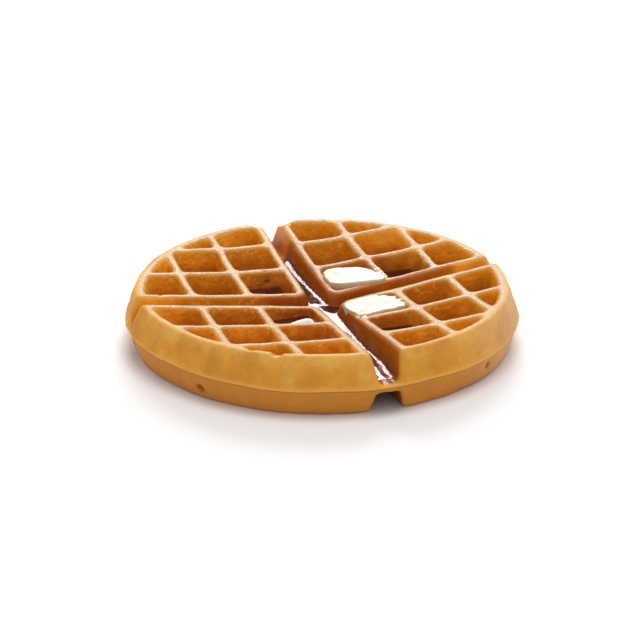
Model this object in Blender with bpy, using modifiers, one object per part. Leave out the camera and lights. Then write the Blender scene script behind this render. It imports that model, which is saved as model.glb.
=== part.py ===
"""A round Belgian waffle in four quarters, with two pats of butter and pools of syrup.

Metres, +Z up. The origin is on the flat underside, at the middle of the waffle. Y runs along the channel
that the syrup fills, with the front at -Y, and X runs along the channel that crosses it. Each piece is
first made as if the waffle were level. It is then let down towards the middle, where the baked waffle
sags, while its underside stays flat.
"""

import math

import bmesh
import bpy
from mathutils import Matrix, Vector

MM = 0.001

# The disc, before it sags
HEIGHT = 26.3 * MM
TOP_RADIUS = 84.3 * MM
WEB_BOTTOM = 9.4 * MM
WEB_TOP = 13.2 * MM
FLOOR_DEPTH = {"top": HEIGHT - WEB_TOP, "under": WEB_BOTTOM}

# The sag: a shallow cone with a flat middle, deeper at the rib tops than in the web
TOP_SAG = 9.85 * MM
WEB_SAG = 6.6 * MM
FLAT_RADIUS = 6.0 * MM

# The outer side from the rim down, as radius and height in millimetres. It leans out to the seam, where
# the halves of the iron met, and in again below it.
SIDE = [
    (83.0, 26.3), (84.1, 25.9), (84.8, 24.8), (87.6, 18.7), (89.1, 13.9), (90.0, 13.2),
    (90.0, 12.3), (89.1, 11.6), (88.0, 6.7), (86.3, 1.7), (85.6, 0.5), (84.3, 0.0),
]

# The iron's grid: the first rib lies beside a channel, and the others follow at one pitch
PITCH = 25.84 * MM
FIRST_RIB = 6.98 * MM
RIB = 4.4 * MM
RIM = 4.4 * MM
DRAFT = math.tan(math.radians(11))
LIP = 1.1 * MM
LIP_FLARE = 0.8 * MM
POCKET_CORNER = 2.4 * MM
QUARTER_CORNER = 5.5 * MM
POCKETS = [(0, 0), (1, 0), (2, 0), (0, 1), (1, 1), (2, 1), (0, 2), (1, 2)]

# Each quarter's side of the two channels, and how far it lies off the true grid: a turn and a shift
QUARTERS = {
    "back_left": ((-1, 1), math.radians(0.2), (0.5 * MM, 1.9 * MM)),
    "back_right": ((1, 1), math.radians(0.7), (0.5 * MM, -0.5 * MM)),
    "front_left": ((-1, -1), math.radians(-1.7), (1.1 * MM, 0.7 * MM)),
    "front_right": ((1, -1), math.radians(0.7), (0.7 * MM, 1.2 * MM)),
}

# Butter: how deep it sits in its pocket, its soft edge, and for each pat its quarter, its height above
# the ribs and its outline in millimetres
GAP = 0.35 * MM
BUTTER_DEPTH = 5.5 * MM
BUTTER_EDGE = 0.7 * MM
PATS = {
    "butter_back": ("back_right", 1.6 * MM, [
        (8.2, 15.0), (8.0, 23.6), (10.4, 26.0), (16.2, 26.4), (25.4, 22.8),
        (31.0, 16.4), (33.4, 9.0), (31.8, 6.4), (24.4, 7.6), (18.0, 9.2), (12.0, 11.2),
    ]),
    "butter_front": ("front_right", 1.2 * MM, [
        (5.6, -17.0), (7.6, -10.0), (11.8, -7.8), (22.2, -9.4), (28.6, -15.6),
        (30.2, -21.0), (29.4, -29.6), (18.0, -29.4), (9.4, -31.2), (6.4, -30.2),
    ]),
}

# Syrup: its depth in the channels and how far it runs along them, and its depth in each pocket
CHANNEL_SYRUP = 1.8 * MM
MIDDLE_SYRUP = 4.7 * MM
BACK_ARM = 62 * MM
FRONT_ARM = 84 * MM
SIDE_ARM = 24 * MM
POOLS = {
    "syrup_back_left": ("back_left", (0, 0), 5.6 * MM),
    "syrup_back_right": ("back_right", (1, 0), 5.2 * MM),
    "syrup_front_left": ("front_left", (0, 0), 6.8 * MM),
    "syrup_front_right": ("front_right", (0, 1), 5.2 * MM),
}

# Half the side of the block that a quarter comes from, how far cutters reach, and how far they overrun
QUARTER_HALF = 67.5 * MM
REACH = 108 * MM
OVERRUN = 4 * MM
TURN_STEPS = 96
MERGE = 0.00001
SHARP = math.radians(35)


def clear_scene():
    for thing in list(bpy.data.objects):
        bpy.data.objects.remove(thing)


def collection(name):
    made = bpy.data.collections.new(name)
    bpy.context.scene.collection.children.link(made)
    return made


def material(name, colour, roughness):
    made = bpy.data.materials.new(name)
    made.use_nodes = True
    shader = made.node_tree.nodes["Principled BSDF"]
    shader.inputs["Base Color"].default_value = (*colour, 1.0)
    shader.inputs["Roughness"].default_value = roughness
    shader.inputs["Metallic"].default_value = 0.0
    made.diffuse_color = (*colour, 1.0)
    return made


def object_from(bm, name, home):
    mesh = bpy.data.meshes.new(name)
    bm.to_mesh(mesh)
    bm.free()
    made = bpy.data.objects.new(name, mesh)
    home.objects.link(made)
    return made


def cutter_from(bm, name, home):
    made = object_from(bm, name, home)
    made.display_type = "WIRE"
    made.hide_render = True
    return made


def turned(name, profile, home, make):
    """A solid of revolution about Z, from (radius, height) points that run down its outer side."""
    bm = bmesh.new()
    line = [bm.verts.new((radius, 0, z)) for radius, z in profile]
    for upper, lower in zip(line, line[1:]):
        bm.edges.new((upper, lower))
    made = make(bm, name, home)
    screw = made.modifiers.new("turn", "SCREW")
    screw.steps = screw.render_steps = TURN_STEPS
    screw.use_merge_vertices = True
    screw.merge_threshold = MERGE
    return made


def boolean(target, tool, operation):
    cut = target.modifiers.new(tool.name, "BOOLEAN")
    cut.operation = operation
    cut.solver = "EXACT"
    cut.object = tool


def cuboid(low, high):
    """A block between two opposite corners."""
    low, high = Vector(low), Vector(high)
    bm = bmesh.new()
    place = Matrix.Translation((low + high) / 2) @ Matrix.Diagonal((*(high - low), 1))
    bmesh.ops.create_cube(bm, size=1.0, matrix=place)
    return bm


def join_into(bm, piece):
    mesh = bpy.data.meshes.new("piece")
    piece.to_mesh(mesh)
    piece.free()
    bm.from_mesh(mesh)
    bpy.data.meshes.remove(mesh)


def depth_to_z(side, depth):
    """The height of a point this far below the ribs of one face of the level waffle."""
    return HEIGHT - depth if side == "top" else depth


def z_to_depth(side, z):
    return HEIGHT - z if side == "top" else z


def set_back(depth):
    """How far a wall stands back: drafted up to the foot of its lip, and flared above that."""
    if depth >= LIP:
        return (LIP - depth) * DRAFT
    return min((LIP - depth) / LIP, 1) * LIP_FLARE


def in_quarter(quarter, x, y):
    """Where a point of the true grid lies in a quarter, with x and y counted away from the channels."""
    (sign_x, sign_y), turn, shift = QUARTERS[quarter]
    return Matrix.Rotation(turn, 3, "Z") @ Vector((sign_x * x, sign_y * y, 0)) + Vector((*shift, 0))


def place_in_quarter(bm, quarter, x, y):
    turn = QUARTERS[quarter][1]
    place = Matrix.Translation(in_quarter(quarter, x, y)) @ Matrix.Rotation(turn, 4, "Z")
    bmesh.ops.transform(bm, matrix=place, verts=bm.verts[:])


def pocket_centre(index):
    return FIRST_RIB + PITCH * (index + 0.5)


def rounded_block(half, corner, side, depths):
    """An upright block about Z with round vertical edges, and a ring of vertices at each depth."""
    levels = sorted(depth_to_z(side, depth) for depth in depths)
    bm = cuboid((-half, -half, levels[0]), (half, half, levels[-1]))
    upright = [edge for edge in bm.edges if abs(edge.verts[0].co.z - edge.verts[1].co.z) > MERGE]
    bmesh.ops.bevel(bm, geom=upright, offset=corner, segments=2, profile=0.5, affect="EDGES")
    for z in levels[1:-1]:
        everything = bm.verts[:] + bm.edges[:] + bm.faces[:]
        bmesh.ops.bisect_plane(bm, geom=everything, plane_co=(0, 0, z), plane_no=(0, 0, 1))
    return bm


def pocket_block(side, depths, clearance=0.0):
    """The room of one full pocket between the given depths, or a filling that keeps clear of its walls."""
    half = (PITCH - RIB) / 2
    bm = rounded_block(half, POCKET_CORNER, side, depths)
    for v in bm.verts:
        grown = 1 + (set_back(z_to_depth(side, v.co.z)) - clearance) / half
        v.co.x *= grown
        v.co.y *= grown
    return bm


def pocket_cutters(side, home):
    """All the pockets of one face of the waffle, trimmed by the round rim."""
    bm = bmesh.new()
    for quarter in QUARTERS:
        for i, j in POCKETS:
            block = pocket_block(side, [FLOOR_DEPTH[side], LIP, 0, -OVERRUN])
            place_in_quarter(block, quarter, pocket_centre(i), pocket_centre(j))
            join_into(bm, block)
    pockets = cutter_from(bm, side + "_pockets", home)

    depths = [FLOOR_DEPTH[side] + OVERRUN, LIP, 0, -2 * OVERRUN]
    walls = [(TOP_RADIUS - RIM + set_back(depth), depth_to_z(side, depth)) for depth in depths]
    walls.sort(key=lambda point: -point[1])
    profile = [(0, walls[0][1]), *walls, (0, walls[-1][1])]
    boolean(pockets, turned(side + "_rim", profile, home, cutter_from), "INTERSECT")
    return pockets


def quarter_blocks(name, side, clearance, home):
    """The four quarters as blocks with round corners, which leave the cross of channels between them."""
    half = QUARTER_HALF
    middle = half + FIRST_RIB - RIB / 2
    bm = bmesh.new()
    for quarter in QUARTERS:
        depths = [FLOOR_DEPTH[side] + OVERRUN, LIP, 0, -2 * OVERRUN]
        block = rounded_block(half, QUARTER_CORNER, side, depths)
        for v in block.verts:
            grown = 1 + (clearance - set_back(z_to_depth(side, v.co.z))) / half
            v.co.x *= grown
            v.co.y *= grown
        place_in_quarter(block, quarter, middle, middle)
        join_into(bm, block)
    return cutter_from(bm, name, home)


def channel_cutter(side, home):
    """The cross of channels on one face: a slab less the four quarters."""
    low, high = sorted((depth_to_z(side, FLOOR_DEPTH[side]), depth_to_z(side, -OVERRUN)))
    cross = cutter_from(cuboid((-REACH, -REACH, low), (REACH, REACH, high)), side + "_channels", home)
    boolean(cross, quarter_blocks(side + "_quarters", side, 0, home), "DIFFERENCE")
    return cross


def share_of_sag(x, y):
    """One in the flat middle, falling evenly to nothing at the rim."""
    run = (math.hypot(x, y) - FLAT_RADIUS) / (TOP_RADIUS - FLAT_RADIUS)
    return 1 - min(max(run, 0), 1)


def let_down(point):
    """The sagged height of a point of the level waffle. Below the web the waffle is pressed flat."""
    share = share_of_sag(point.x, point.y)
    if point.z < WEB_BOTTOM:
        return point.z * (1 - share * WEB_SAG / WEB_BOTTOM)
    rise = min(max((point.z - WEB_TOP) / (HEIGHT - WEB_TOP), 0), 1)
    return point.z - share * (WEB_SAG + rise * (TOP_SAG - WEB_SAG))


def finished(rough, name, home, finish, height=let_down):
    """The evaluated shape as triangles, in an object of its own, with each point at its sagged height."""
    rough.modifiers.new("triangles", "TRIANGULATE")
    graph = bpy.context.evaluated_depsgraph_get()
    mesh = bpy.data.meshes.new_from_object(rough.evaluated_get(graph))
    for v in mesh.vertices:
        v.co.z = height(v.co)
    mesh.name = name
    mesh.materials.clear()
    mesh.materials.append(finish)
    mesh.shade_smooth()
    mesh.set_sharp_from_angle(angle=SHARP)
    made = bpy.data.objects.new(name, mesh)
    home.objects.link(made)
    bpy.data.objects.remove(rough)
    return made


def make_waffle(home, tools, crust):
    side = [(radius * MM, z * MM) for radius, z in SIDE]
    body = turned("waffle_rough", [(0, HEIGHT), *side, (0, 0)], tools, object_from)
    for face in FLOOR_DEPTH:
        boolean(body, channel_cutter(face, tools), "DIFFERENCE")
        boolean(body, pocket_cutters(face, tools), "DIFFERENCE")
    finished(body, "waffle", home, crust)


def make_butter(name, quarter, proud, outline, home, tools, finish):
    """A pat with a soft top edge: it plugs the mouth of its pocket, and its edge lies on the ribs."""
    foot, top = HEIGHT - BUTTER_DEPTH, HEIGHT + proud
    bm = bmesh.new()
    face = bm.faces.new([bm.verts.new((x * MM, y * MM, foot)) for x, y in outline])
    raised = bmesh.ops.extrude_face_region(bm, geom=[face])["geom"]
    for part in raised:
        if isinstance(part, bmesh.types.BMVert):
            part.co.z = top
    bmesh.ops.recalc_face_normals(bm, faces=bm.faces[:])
    pat = object_from(bm, name + "_rough", tools)
    edge = pat.modifiers.new("soft_edge", "BEVEL")
    edge.width = BUTTER_EDGE
    edge.segments = 3
    edge.limit_method = "ANGLE"
    edge.angle_limit = SHARP

    room = pocket_block("top", [BUTTER_DEPTH + OVERRUN, LIP, 0, -OVERRUN], GAP)
    place_in_quarter(room, quarter, pocket_centre(0), pocket_centre(0))
    allowed = cutter_from(room, name + "_room", tools)
    above = cuboid((-REACH, -REACH, HEIGHT + GAP), (REACH, REACH, HEIGHT + OVERRUN))
    boolean(allowed, cutter_from(above, name + "_above", tools), "UNION")
    boolean(pat, allowed, "INTERSECT")
    finished(pat, name, home, finish)


def make_pool(name, quarter, cell, depth, home, tools, finish):
    """Syrup that lies level in one pocket, just clear of its walls and floor."""
    place = [pocket_centre(index) for index in cell]
    bm = pocket_block("top", [FLOOR_DEPTH["top"] - GAP, FLOOR_DEPTH["top"] - depth], GAP)
    place_in_quarter(bm, quarter, *place)
    middle = in_quarter(quarter, *place)
    level = let_down(Vector((middle.x, middle.y, WEB_TOP + depth)))

    def height(point):
        return level if point.z > WEB_TOP + GAP + MERGE else let_down(point)

    finished(object_from(bm, name + "_rough", tools), name, home, finish, height)


def make_channel_syrup(home, tools, finish):
    """Syrup along the channel from front to back, and a little way into the one that crosses it."""
    floor, surface = WEB_TOP + GAP, WEB_TOP + CHANNEL_SYRUP
    side = FIRST_RIB + RIB
    stream = object_from(cuboid((-side, -FRONT_ARM, floor), (side, BACK_ARM, surface)), "syrup_rough", tools)
    across = cuboid((-SIDE_ARM, -side, floor), (SIDE_ARM, side, surface))
    boolean(stream, cutter_from(across, "syrup_across", tools), "UNION")
    boolean(stream, quarter_blocks("syrup_banks", "top", GAP, tools), "DIFFERENCE")
    level = WEB_TOP - WEB_SAG + MIDDLE_SYRUP

    def height(point):
        return max(let_down(point), level) if point.z > floor + MERGE else let_down(point)

    finished(stream, "syrup_channels", home, finish, height)


def main():
    clear_scene()
    home = collection("waffle_with_butter_and_syrup")
    tools = collection("cutters")
    crust = material("baked_crust", (0.62, 0.29, 0.07), 0.6)
    butter = material("butter", (0.95, 0.86, 0.6), 0.35)
    syrup = material("syrup", (0.13, 0.02, 0.008), 0.08)
    make_waffle(home, tools, crust)
    for name, (quarter, proud, outline) in PATS.items():
        make_butter(name, quarter, proud, outline, home, tools, butter)
    for name, (quarter, cell, depth) in POOLS.items():
        make_pool(name, quarter, cell, depth, home, tools, syrup)
    make_channel_syrup(home, tools, syrup)


main()
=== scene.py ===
"""The looks of a round Belgian waffle with butter and syrup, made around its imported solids.

It is laid out as an add-on: sizes and colours are properties, each piece has its own operator, and one
panel lists them. Metres, +Z up. The crust, the syrup and the melted butter are Geometry Nodes volumes.
Each is worked out as if the waffle were level, and then let down towards the middle, where it sags.
The scale of a noise or of a cell pattern is how many of its cells lie in a metre.
"""

import math

import bmesh
import bpy
from bpy.props import FloatProperty, FloatVectorProperty, PointerProperty
from mathutils import Matrix, Vector, noise


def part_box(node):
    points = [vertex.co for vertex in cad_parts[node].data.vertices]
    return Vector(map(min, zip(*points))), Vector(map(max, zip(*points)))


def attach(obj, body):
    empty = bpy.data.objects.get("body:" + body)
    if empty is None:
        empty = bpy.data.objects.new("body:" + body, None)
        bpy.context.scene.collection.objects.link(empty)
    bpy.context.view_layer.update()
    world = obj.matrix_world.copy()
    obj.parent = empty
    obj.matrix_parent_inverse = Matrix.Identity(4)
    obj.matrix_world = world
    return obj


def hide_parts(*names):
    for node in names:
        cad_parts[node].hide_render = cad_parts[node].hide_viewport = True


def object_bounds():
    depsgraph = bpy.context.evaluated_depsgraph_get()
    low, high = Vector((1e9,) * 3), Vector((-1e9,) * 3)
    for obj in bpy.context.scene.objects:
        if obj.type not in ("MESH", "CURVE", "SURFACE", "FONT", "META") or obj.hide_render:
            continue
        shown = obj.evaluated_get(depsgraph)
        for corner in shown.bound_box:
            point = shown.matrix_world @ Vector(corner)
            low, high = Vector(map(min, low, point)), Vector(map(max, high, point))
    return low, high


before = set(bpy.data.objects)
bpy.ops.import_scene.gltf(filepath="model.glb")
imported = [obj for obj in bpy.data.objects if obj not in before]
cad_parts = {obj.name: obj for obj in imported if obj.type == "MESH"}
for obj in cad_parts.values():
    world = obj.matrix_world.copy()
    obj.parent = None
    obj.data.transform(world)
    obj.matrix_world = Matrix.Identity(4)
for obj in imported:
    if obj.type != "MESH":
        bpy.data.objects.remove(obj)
CAD_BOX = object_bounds()

bl_info = {
    "name": "Belgian waffle with butter and syrup",
    "version": (1, 0, 0),
    "blender": (4, 5, 0),
    "location": "3D View > Sidebar > Waffle",
    "description": "Builds the crust, the butter, the syrup and a small studio",
    "category": "Object",
}

MM = 0.001
MATH = "ShaderNodeMath"
VECTOR = "ShaderNodeVectorMath"
RANGE = "ShaderNodeMapRange"
NOISE = "ShaderNodeTexNoise"
CELLS = "ShaderNodeTexVoronoi"
MIX = "ShaderNodeMix"
FLOAT = "NodeSocketFloat"
CORNER = "NodeSocketVector"

# The grid's unevenness: how far each quarter lies off the true grid, as a shift and a turn
QUARTERS = {
    "front_left": (1.1 * MM, 0.7 * MM, math.radians(-1.7)),
    "front_right": (0.7 * MM, 1.2 * MM, math.radians(0.7)),
    "back_left": (0.5 * MM, 1.9 * MM, math.radians(0.2)),
    "back_right": (0.5 * MM, -0.5 * MM, math.radians(0.7)),
}

# The side of the disc: a share of its height, and its radius there as a share of the seam's
SIDE_PROFILE = [
    (0.0, 0.954), (0.065, 0.959), (0.255, 0.976), (0.430, 0.986), (0.450, 0.987), (0.462, 1.0),
    (0.512, 1.0), (0.524, 0.989), (0.545, 0.987), (0.711, 0.974), (0.943, 0.945), (1.0, 0.940),
]

# How far the baked forms wander, and how steeply a wall leans: by the draft, or more at its lip
WANDER = (2.6 * MM, 2.6 * MM, 1.2 * MM)
DRAFT = math.tan(math.radians(11))
LIP_FLARE = 0.7

# How softly forms meet, as the length over which one turns into the other. Pairs are for the face
# underneath and the one on top. The inset keeps the soft ends of a quarter from wearing down the side
TOP_EDGE = 1.8 * MM
FOOT_EDGE = 3.0 * MM
QUARTER_ENDS = (9.0 * MM, 6.0 * MM)
QUARTER_INSET = 1.6 * MM
POCKET_AT_RIM = 3.0 * MM
WEB_FILLET = 3.4 * MM
RIB_EDGES = (2.4 * MM, 1.3 * MM)

# Low bumps and burst bubbles: about one cell in five has a bubble, and those on smooth walls are filled
BUMP_HEIGHT = 0.6 * MM
BUBBLE_SCALE = 120.0
BUBBLE_DRAW = 0.78
BUBBLE_RADII = (-0.4 * MM, 1.3 * MM)
BUBBLE_EDGE = 0.8 * MM
DENT_EDGE = 0.9 * MM
FILLED = -2.0 * MM

# The outer side and the channel walls: from how far inside the crust to where they count fully
OUTER_BAND = (-2.4 * MM, -1.0 * MM)
FILLED_BAND = (-3.0 * MM, -1.0 * MM)
CHANNEL_BAND = (-2.5 * MM, -0.8 * MM)

# Burst bubbles and nicks that show singly, and last three large shallow hollows that wear down corners of
# the far rim: place in the level waffle, and radius, in millimetres
DENTS = [
    ((-70.0, -49.5, 5.0), 2.1),
    ((-33.5, -80.5, 0.4), 2.0),
    ((51.0, -70.0, 7.5), 1.9),
    ((-43.0, -70.5, 27.2), 3.0),
    ((-52.0, -63.0, 27.4), 2.2),
    ((-73.0, 9.5, 27.0), 1.6),
    ((-3.5, 87.0, 35.4), 12.2),
    ((5.0, 86.5, 35.4), 12.4),
    ((33.0, 80.0, 41.0), 15.8),
]

# Where syrup and fat have soaked the crust: place and radius in millimetres, and how far its edge strays
WET_STRAY = (8 * MM, 8 * MM, 0)
WET_PLACES = [
    *(((1, along), 14) for along in range(-84, 60, 7)),
    ((0, 0), 24), ((3, 20), 17), ((12, 8), 17), ((24, 7), 17), ((36, 8), 16), ((48, 9), 15), ((60, 9), 12),
    ((18, 18), 18), ((30, 18), 16), ((14, 33), 19), ((34, 30), 14), ((8, -14), 16), ((18, -20), 16),
    ((46, 20), 15), ((-20, 22), 14), ((-18, 8), 11), ((-19, -18), 15), ((20, -45), 15),
]

# Butter: each pat's height above the ribs and its outline on them, in millimetres
PATS = {
    "butter_back": (1.4, [
        (8.2, 14.8), (7.9, 19.6), (8.4, 23.6), (10.4, 25.6), (16.2, 26.0), (21.0, 25.0), (25.4, 22.4),
        (28.6, 19.6), (30.2, 17.8), (31.2, 15.2), (33.6, 13.2), (32.6, 10.6), (33.9, 8.0), (31.6, 6.0),
        (28.6, 6.6), (24.4, 7.6), (18.2, 9.4), (12.2, 11.2), (9.4, 13.0),
    ]),
    "butter_front": (0.9, [
        (5.6, -17.0), (6.4, -12.0), (8.0, -9.0), (11.8, -7.7), (17.0, -8.0), (22.6, -8.8), (24.2, -10.9),
        (26.6, -11.6), (27.4, -14.4), (29.6, -15.6), (28.9, -18.6), (31.6, -20.2), (29.2, -22.2),
        (29.9, -23.8), (31.0, -25.2), (29.4, -27.0), (29.8, -29.0), (26.2, -28.6), (23.6, -29.7),
        (19.8, -28.8), (17.0, -29.3), (13.0, -30.2), (9.2, -31.0), (6.8, -30.0), (6.9, -26.0), (6.2, -21.5),
    ]),
}

# A pat is cut from cells, smoothed, and then waved: scale of a wave, and its height in millimetres
PAT_CELL = 0.4 * MM
PAT_SMOOTHING = 6
PAT_WAVES = [(110, 0.6), (420, 0.14)]

# Melted butter that has run over the ribs: its thickness, how far it starts below the crust, the heights
# between which it sets in, and, in millimetres, its room from the ribs' height and each place and radius
MELT_CELL = 0.4 * MM
MELT_DEPTH = 1.1 * MM
MELT_START = -0.35 * MM
MELT_HEIGHTS = (22.5 * MM, 25.0 * MM)
MELT_STRAY = (4 * MM, 4 * MM, 0)
MELT_ROOM = [(2.0, -38.0, -9.0), (40.0, 30.0, 3.0)]
MELT_PLACES = [
    ((6.4, -17.2), 1.8), ((6.8, -29.8), 1.8), ((9.4, -32.2), 2.2), ((30.8, -23.0), 1.6),
    ((33.6, 18.6), 2.2), ((34.2, 15.4), 2.8), ((34.4, 11.6), 2.6), ((33.4, 8.4), 2.0),
]

# Where the syrup's surface swells in a pocket: place in millimetres, and radius
SWELLS = [((-11.0, -15.0), 8.0), ((-24.0, 20.0), 6.0)]

# Syrup: the node each pool stands for, and the room of a piece past its node, and below and above the
# pocket floors. A pool has no stream, so its stream is sunk in the crust
POOLS = ["syrup_back_left", "syrup_back_right", "syrup_front_left", "syrup_front_right"]
SYRUP_CELL = 0.45 * MM
SYRUP_ROOM = 4.6 * MM
SYRUP_LOW = -2 * MM
SYRUP_HIGH = 11 * MM
NO_STREAM = -5 * MM

# Where a pool turns into a stream, how high it ripples, and how it ends: round, clear of its room's
# walls and of the outer side, and thinner on its last centimetres
STREAM_MEETING = 2 * MM
RIPPLE = 0.5 * MM
ROUND_END = 5 * MM
END_CLEAR = 3 * MM
THIN_BAND = (-22 * MM, -5 * MM)
THINNED = 1.5 * MM
PALE_BAND = (0.2 * MM, 1.8 * MM)

CRUST_ROOM = Vector((2.5, 2.5, 2.5)) * MM
CRUST_TRIANGLES = 190000

# The crust's finish by level, as a share of the height: where the pale rib ends set in on both faces,
# where the walls darken downwards, where the side pales under the rim, and where it browns at the seam
CROWN_LEVELS = (0.966, 0.992)
FOOT_LEVELS = (0.05, 0.015)
SUNK_LEVELS = (0.56, 0.80)
UNDER_RIM_LEVELS = (0.78, 0.96)
SEAM_LEVELS = (0.47, 0.44)
RIDGE_LINE = (0.487, 0.012, 0.032)
SHADOW_LINE = (0.450, 0.004, 0.020)

# From inner to outer pockets, whose walls turn lighter partly by colour and partly by a painted glow, and
# across the width to the flank that takes a painted sheen
POCKET_BAND = (20 * MM, 78 * MM)
SHEEN_FLANK_BAND = (32 * MM, 84 * MM)

# Syrup on the crust: how wet it shows, how much more a rib end takes, how much it hides and evens out
SOAKED_BAND = (0.15, 0.75)
CROWN_RESISTS = 0.4
SOAKED_COVER = 0.72
EVENED_OUT = 0.8

# Roughness of the crust
OUTSIDE_ROUGHNESS = 0.62
POCKET_ROUGHNESS = 0.36
SOAKED_ROUGHNESS = 0.20

# The studio: each lamp's place, width in metres and power in watts, the sky, the floor and the camera
SOFT_BOXES = [
    ("back_box", (0.45, 1.35, 0.95), 1.0, 19.0),
    ("top_box", (0.1, -0.1, 1.3), 0.9, 6.5),
]
SKY_STRENGTH = 0.6
FLOOR_RADIUS = 4.0
FLOOR_DROP = 0.01 * MM
CAMERA_PLACE = (-0.00101, -0.7226, 0.3123)
CAMERA_TILT = math.radians(67.08)
CAMERA_TURN = math.radians(-18.26)
CAMERA_LENS = 96.2


def linear(code):
    """An sRGB hex colour as linear red, green, blue and an alpha of one."""
    parts = [int(code[k : k + 2], 16) / 255 for k in (1, 3, 5)]
    return [*(p / 12.92 if p <= 0.04045 else ((p + 0.055) / 1.055) ** 2.4 for p in parts), 1.0]


def size(name, description, millimetres):
    return FloatProperty(
        name=name, description=description, default=millimetres * MM, unit="LENGTH", precision=5
    )


def colour(name, description, code):
    return FloatVectorProperty(
        name=name, description=description, default=linear(code), subtype="COLOR", size=4, min=0, max=1
    )


class WaffleSizes(bpy.types.PropertyGroup):
    height: size("Height", "From the underside to the top of the rim", 26.3)
    seam_radius: size("Seam radius", "Middle to the seam where the iron's halves met", 89.75)
    web_bottom: size("Web bottom", "Height of the floor of the pockets underneath", 9.4)
    web_top: size("Web top", "Height of the floor of the upper pockets at the rim", 13.2)
    pitch: size("Pitch", "From one rib to the next", 25.84)
    first_rib: size("First rib", "Middle to the centre of the rib beside a channel", 6.98)
    rib: size("Rib", "Width of a rib near its top", 4.4)
    rim_radius: size("Rim radius", "Middle to the inner wall of the rim", 79.9)
    top_radius: size("Top radius", "Middle to the outer edge of the rim's top", 84.3)
    flat_radius: size("Flat radius", "Radius of the lowest part of the sag", 6.0)
    top_sag: size("Sag of the ribs", "How far the rib tops drop towards the middle", 9.85)
    web_sag: size("Sag of the web", "How far the pocket floors drop towards the middle", 6.6)
    lip: size("Lip", "Depth of the soft edge of a pocket", 1.1)
    pocket_corner: size("Pocket corner", "Radius of a pocket's upright corners", 2.6)
    quarter_corner: size("Quarter corner", "Radius of a quarter's corners at the channels", 5.5)
    voxel: size("Voxel", "Cell size of the volumes", 0.7)
    syrup_depth: size("Syrup depth", "Depth of the syrup that runs along a channel", 1.8)
    middle_syrup: size("Middle syrup", "Depth of the syrup where the channels cross", 4.7)
    swell: size("Swell", "How far the syrup's surface swells in places", 1.2)
    butter_depth: size("Butter depth", "How deep a pat sits in its pocket", 5.0)
    climb: size("Climb", "How high syrup creeps up a wall", 0.7)
    reach: size("Reach", "How far a liquid's edge reaches into the crust", 0.6)


class WaffleColours(bpy.types.PropertyGroup):
    crown: colour("Crown", "Pale tops of the ribs", "#BE9866")
    wall_inner: colour("Inner walls", "Pocket walls near the middle", "#B85A10")
    # Partly the walls' own golden colour and partly a painted glow of light coming through the thin rim
    outer_wall_and_glow: colour("Outer walls", "Pocket walls near the rim", "#E69418")
    wall_deep: colour("Deep walls", "Foot of the pocket walls", "#8E3C08")
    # Painted light: the yellow of painted glints high on the pocket walls and of the painted glow near the
    # rim
    glint_and_glow_yellow: colour("Blisters", "Fat-filled bubbles high on the pocket walls", "#F2B040")
    side: colour("Side", "Outer side above the seam", "#DC9632")
    side_edge: colour("Side edge", "Outer side just under the rim", "#E2AC52")
    side_foot: colour("Side foot", "Outer side below the seam", "#CA822E")
    # Painted sheen: the flank paled by light falling on that side
    sheen_flank: colour("Flank", "The side where it baked palest", "#DCB284")
    # Painted shadow: the brown line under the seam's ridge
    seam: colour("Seam", "The line under the seam", "#8A4E1C")
    soaked: colour("Soaked crust", "Crust wet with syrup and fat", "#A04C08")
    butter: colour("Butter", "Soft butter", "#D6CCB0")
    melted: colour("Melted butter", "Thin butter on the crust", "#FCE9C4")
    syrup_deep: colour("Deep syrup", "Syrup where it is thick", "#2E0C08")
    syrup_thin: colour("Thin syrup", "Syrup where it thins out", "#8A3A1C")
    floor: colour("Floor", "Plain pale floor", "#F4F4F5")


def add(tree, kind, *values, named=None, output=0, **settings):
    """Adds a node with its settings, and links or sets its inputs in order and then by name or place."""
    node = tree.nodes.new(kind)
    for key, value in settings.items():
        setattr(node, key, value)
    for key, value in [*enumerate(values), *(named or {}).items()]:
        if value is None:
            continue
        if isinstance(value, bpy.types.NodeSocket):
            tree.links.new(value, node.inputs[key])
        else:
            node.inputs[key].default_value = value
    return node if output is None else node.outputs[output]


def new_tree(name, own=(), results=()):
    """A Geometry Nodes tree with an input for each size of the waffle and for each of its own."""
    tree = bpy.data.node_groups.new(name, "GeometryNodeTree")
    for key in WaffleSizes.__annotations__:
        tree.interface.new_socket(key, in_out="INPUT", socket_type=FLOAT)
    for key, kind in own:
        tree.interface.new_socket(key, in_out="INPUT", socket_type=kind)
    for key, kind in results:
        tree.interface.new_socket(key, in_out="OUTPUT", socket_type=kind)
    return tree, add(tree, "NodeGroupInput", output=None).outputs


def use_group(tree, group, given):
    """Adds a node group, with the waffle's sizes passed on to it."""
    named = {key: given[key] for key in WaffleSizes.__annotations__}
    return add(tree, "GeometryNodeGroup", named=named, output=None, node_tree=group).outputs


def finish_group(tree, **results):
    add(tree, "NodeGroupOutput", named=results, output=None)


def rounded_square(tree, beyond, corner):
    """Distance to a square with round corners, from how far a point lies beyond the corner's centre."""
    outside = add(tree, VECTOR, beyond, (0, 0, 0), operation="MAXIMUM")
    around = add(tree, VECTOR, add(tree, VECTOR, outside, (1, 1, 0), operation="MULTIPLY"),
                 output="Value", operation="LENGTH")
    parts = add(tree, "ShaderNodeSeparateXYZ", beyond, output=None).outputs
    within = add(tree, MATH, parts[0], parts[1], operation="MAXIMUM")
    within = add(tree, MATH, within, 0.0, operation="MINIMUM")
    return add(tree, MATH, add(tree, MATH, around, within, operation="ADD"), corner, operation="SUBTRACT")


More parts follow.
